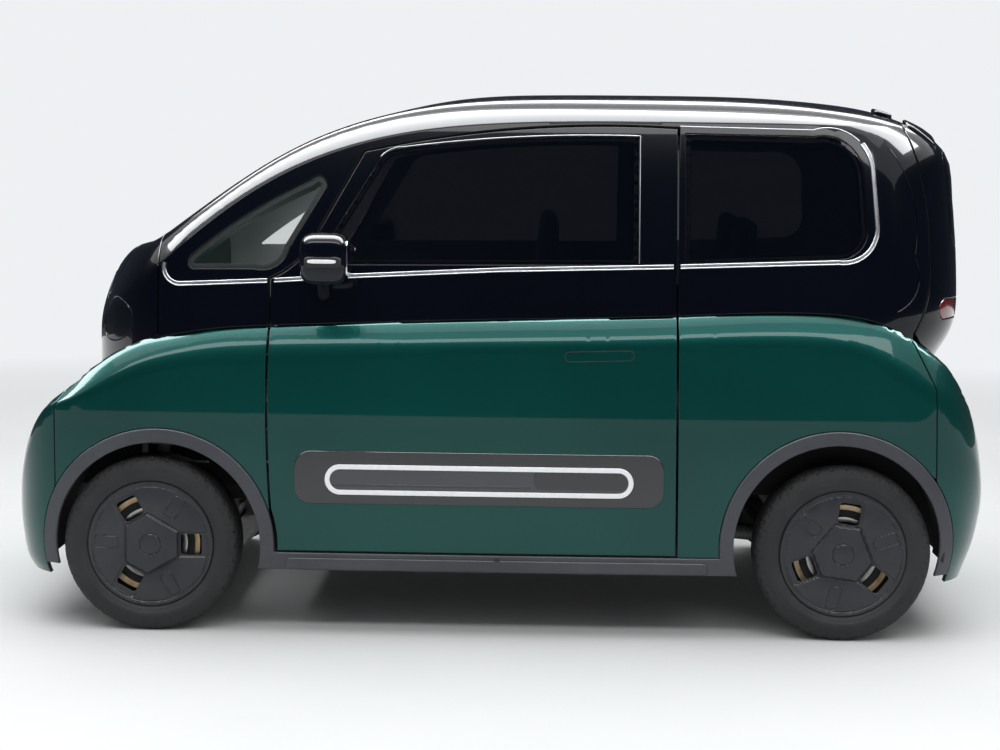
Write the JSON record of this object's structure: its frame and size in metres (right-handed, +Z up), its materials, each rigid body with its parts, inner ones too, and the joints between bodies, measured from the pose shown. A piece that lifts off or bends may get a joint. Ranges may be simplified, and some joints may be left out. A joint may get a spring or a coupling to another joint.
{
  "type": "small three-door electric city car",
  "caption": "Small electric hatchback with hinged doors, tailgate and bonnet, steered front wheels and a dark cabin set into a coloured lower body.",
  "frame": {"origin": "middle of the car's length and width at ground level under the tyres", "axes": "+X forward, +Y to the car's left, +Z up"},
  "size_m": [2.8931, 1.938, 1.5964],
  "materials": {
    "green_paint": "gloss metallic",
    "black_paint": "gloss",
    "grey_plastic": "fine grain",
    "bright_trim": "polished",
    "clear_glass": "polished",
    "dark_glass": "polished",
    "lamp_lens": "polished",
    "tail_lens": "polished",
    "interior_plastic": "fine grain",
    "seat_fabric": "woven",
    "tyre_rubber": "matt",
    "wheel_plastic": "satin",
    "cast_metal": "cast",
    "coated_steel": "satin underbody coat"
  },
  "bodies": {
    "body": {"floor_pan": "coated_steel", "battery_pack": "coated_steel", "drive_motor": "cast_metal", "front_suspension": "cast_metal", "rear_suspension": "cast_metal", "tow_socket": "cast_metal", "front_bumper": "green_paint", "rear_bumper": "green_paint", "fender_left": "green_paint", "fender_right": "green_paint", "quarter_left": "green_paint", "quarter_right": "green_paint", "cladding_left": "grey_plastic", "cladding_right": "grey_plastic", "wheel_liners": "grey_plastic", "front_mask": "black_paint", "head_lamps": "lamp_lens", "cabin_shell": "black_paint", "belt_moulding": "bright_trim", "windscreen": "clear_glass", "quarter_glass": "clear_glass", "rear_side_glass": "dark_glass", "dashboard": "interior_plastic", "seat_left": "seat_fabric", "seat_right": "seat_fabric", "rear_bench": "seat_fabric"},
    "bonnet": {"bonnet": "black_paint"},
    "tailgate": {"tailgate": "black_paint", "tailgate_glass": "dark_glass", "tail_lamps": "tail_lens"},
    "steering_wheel": {"steering_wheel": "interior_plastic"},
    "tie_rods": {"tie_rods": "cast_metal"},
    "door_left": {"door_left": "green_paint", "door_upper_left": "black_paint", "door_glass_left": "dark_glass", "door_trim_left": "grey_plastic", "mirror_left": "black_paint"},
    "knuckle_left": {"knuckle_left": "cast_metal"},
    "wheel_front_left": {"tyre_front_left": "tyre_rubber", "wheel_front_left": "wheel_plastic"},
    "wheel_rear_left": {"tyre_rear_left": "tyre_rubber", "wheel_rear_left": "wheel_plastic"},
    "door_right": {"door_right": "green_paint", "door_upper_right": "black_paint", "door_glass_right": "dark_glass", "door_trim_right": "grey_plastic", "mirror_right": "black_paint"},
    "knuckle_right": {"knuckle_right": "cast_metal"},
    "wheel_front_right": {"tyre_front_right": "tyre_rubber", "wheel_front_right": "wheel_plastic"},
    "wheel_rear_right": {"tyre_rear_right": "tyre_rubber", "wheel_rear_right": "wheel_plastic"}
  },
  "joints": [
    {"name": "steer_left", "type": "hinge", "parent": "body", "child": "knuckle_left", "pos_m": [1.017, 0.646, 0.258], "axis": [0, 0, 1], "range_deg": [-30, 30]},
    {"name": "steer_right", "type": "hinge", "parent": "body", "child": "knuckle_right", "pos_m": [1.017, -0.646, 0.258], "axis": [0, 0, 1], "range_deg": [-30, 30]},
    {"name": "rack_slide", "type": "slide", "parent": "body", "child": "tie_rods", "axis": [0, 1, 0], "range_m": [-0.058, 0.058]},
    {"name": "steering_wheel_turn", "type": "hinge", "parent": "body", "child": "steering_wheel", "pos_m": [0.41, 0.335, 0.915], "axis": [-0.9063, 0, 0.4226], "range_deg": [-425, 425]},
    {"name": "wheel_front_left_spin", "type": "hinge", "parent": "knuckle_left", "child": "wheel_front_left", "pos_m": [1.017, 0.718, 0.258], "axis": [0, 1, 0], "continuous": true},
    {"name": "wheel_front_right_spin", "type": "hinge", "parent": "knuckle_right", "child": "wheel_front_right", "pos_m": [1.017, -0.718, 0.258], "axis": [0, 1, 0], "continuous": true},
    {"name": "wheel_rear_left_spin", "type": "hinge", "parent": "body", "child": "wheel_rear_left", "pos_m": [-1.003, 0.718, 0.258], "axis": [0, 1, 0], "continuous": true},
    {"name": "wheel_rear_right_spin", "type": "hinge", "parent": "body", "child": "wheel_rear_right", "pos_m": [-1.003, -0.718, 0.258], "axis": [0, 1, 0], "continuous": true},
    {"name": "door_left_swing", "type": "hinge", "parent": "body", "child": "door_left", "pos_m": [0.672, 0.82, 0.6], "axis": [0, 0, -1], "range_deg": [0, 65]},
    {"name": "door_right_swing", "type": "hinge", "parent": "body", "child": "door_right", "pos_m": [0.672, -0.82, 0.6], "axis": [0, 0, 1], "range_deg": [0, 65]},
    {"name": "tailgate_lift", "type": "hinge", "parent": "body", "child": "tailgate", "pos_m": [-1.18, 0, 1.53], "axis": [0, 1, 0], "range_deg": [0, 75]},
    {"name": "bonnet_lift", "type": "hinge", "parent": "body", "child": "bonnet", "pos_m": [1.062, 0, 1.141], "axis": [0, -1, 0], "range_deg": [0, 50]}
  ],
  "couplings": [
    {"joint": "steer_right", "follows": "steer_left", "ratio": 1},
    {"joint": "rack_slide", "follows": "steer_left", "m_per_rad": -0.105},
    {"joint": "steering_wheel_turn", "follows": "steer_left", "ratio": 14}
  ]
}
